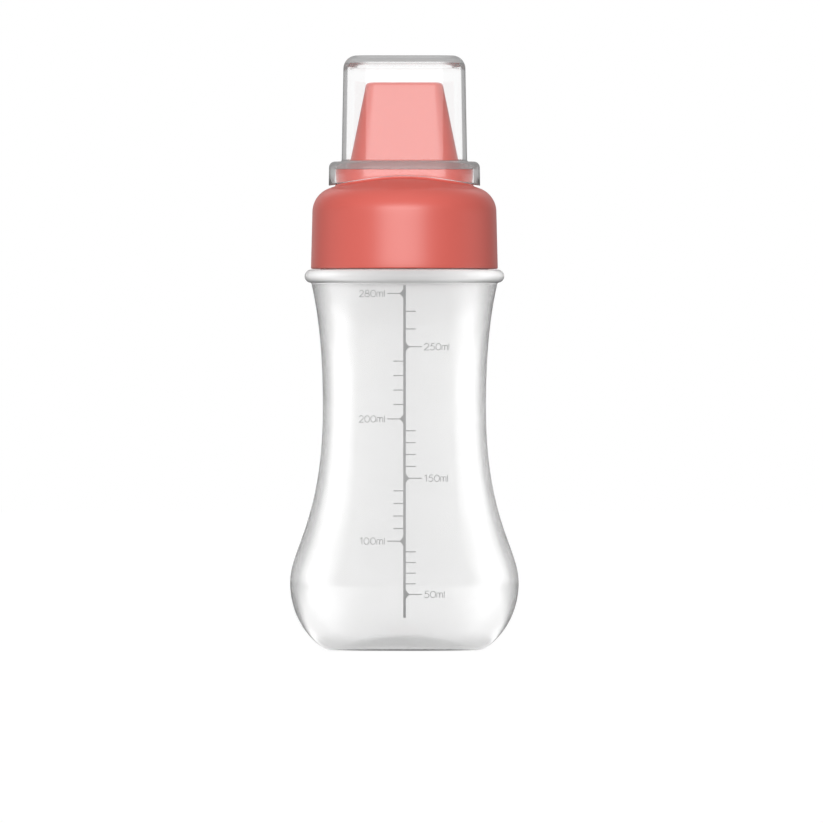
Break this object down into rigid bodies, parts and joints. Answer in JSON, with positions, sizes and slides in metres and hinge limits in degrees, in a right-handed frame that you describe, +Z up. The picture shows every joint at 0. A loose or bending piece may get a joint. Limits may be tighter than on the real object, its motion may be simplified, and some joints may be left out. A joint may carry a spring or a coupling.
{
  "type": "squeeze sauce bottle",
  "caption": "Waisted squeeze bottle with a screw cap, a wide nozzle with a row of outlets, a sealing ring and a clear lift-off dust cover.",
  "frame": {"origin": "centre of the foot, on the surface that the bottle stands on", "axes": "+Z up along the bottle; +X along the nozzle's row of outlets; -Y is the front, with the printed scale"},
  "size_m": [0.073, 0.073, 0.19],
  "materials": {
    "bottle": "milky translucent blown polyethylene, satin",
    "nozzle_cap": "coral moulded polypropylene, satin",
    "sealing_ring": "white silicone",
    "dust_cover": "clear, polished"
  },
  "bodies": {
    "bottle": {"bottle": "bottle"},
    "seal": {"sealing_ring": "sealing_ring"},
    "cap": {"nozzle_cap": "nozzle_cap"},
    "cover": {"dust_cover": "dust_cover"}
  },
  "joints": [
    {"name": "cap_climb", "type": "slide", "parent": "bottle", "child": "seal", "axis": [0, 0, 1], "range_m": [0, 0.01801]},
    {"name": "cap_turn", "type": "hinge", "parent": "seal", "child": "cap", "pos_m": [0, 0, 0], "axis": [0, 0, 1], "range_deg": [0, 1080]},
    {"name": "cover_lift", "type": "slide", "parent": "cap", "child": "cover", "axis": [0, 0, 1], "range_m": [0, 0.045]}
  ],
  "couplings": [
    {"joint": "cap_climb", "follows": "cap_turn", "m_per_rad": 0.00095493}
  ]
}
